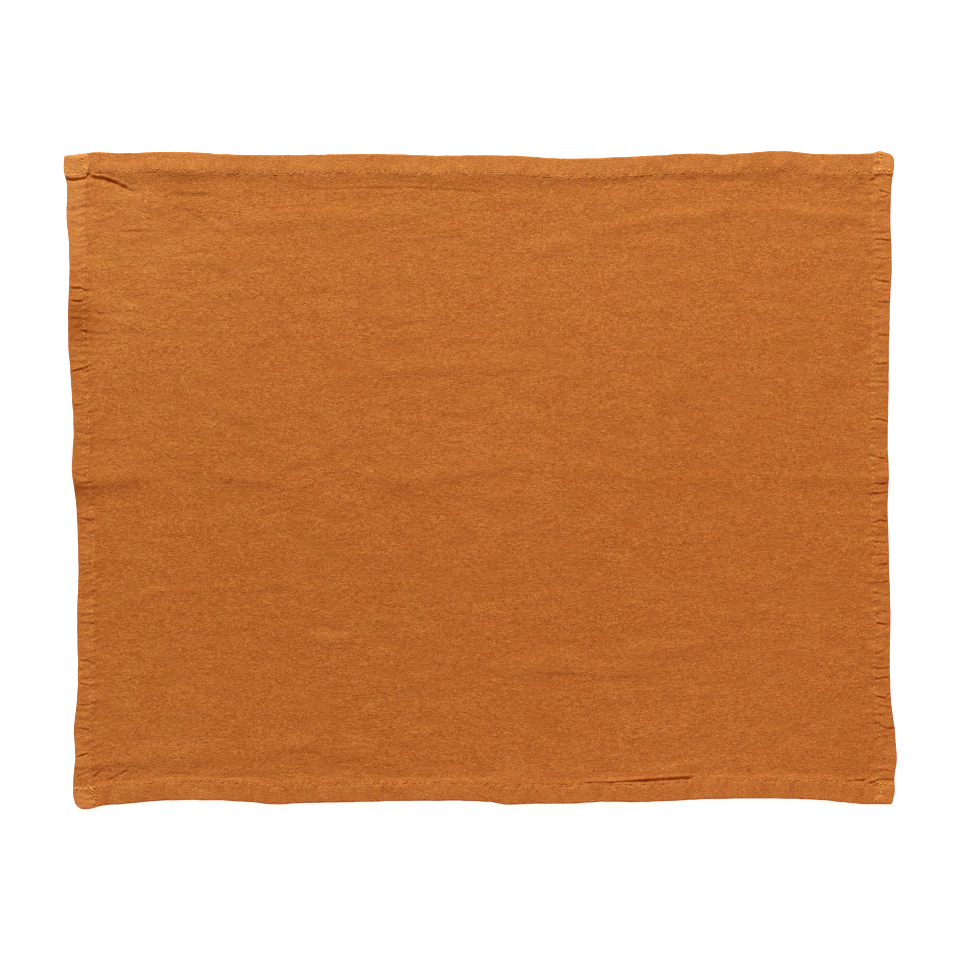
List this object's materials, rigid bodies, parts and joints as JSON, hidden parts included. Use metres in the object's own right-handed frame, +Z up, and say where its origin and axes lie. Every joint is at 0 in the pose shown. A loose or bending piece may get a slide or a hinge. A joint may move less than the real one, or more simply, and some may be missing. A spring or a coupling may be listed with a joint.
{
  "type": "fabric placemat",
  "caption": "Rectangular linen placemat with turned and stitched hems, lying flat with a soft packing fold across its middle.",
  "frame": {"origin": "on the resting surface, under the middle of the cloth's box", "axes": "+X along the long sides, +Y along the short sides, +Z up from the surface to the side the hems are turned to"},
  "size_m": [0.5104, 0.4034, 0.0036],
  "materials": {
    "linen": "matt washed plain weave"
  },
  "bodies": {
    "root": {"placemat_cloth": "linen"}
  },
  "joints": []
}
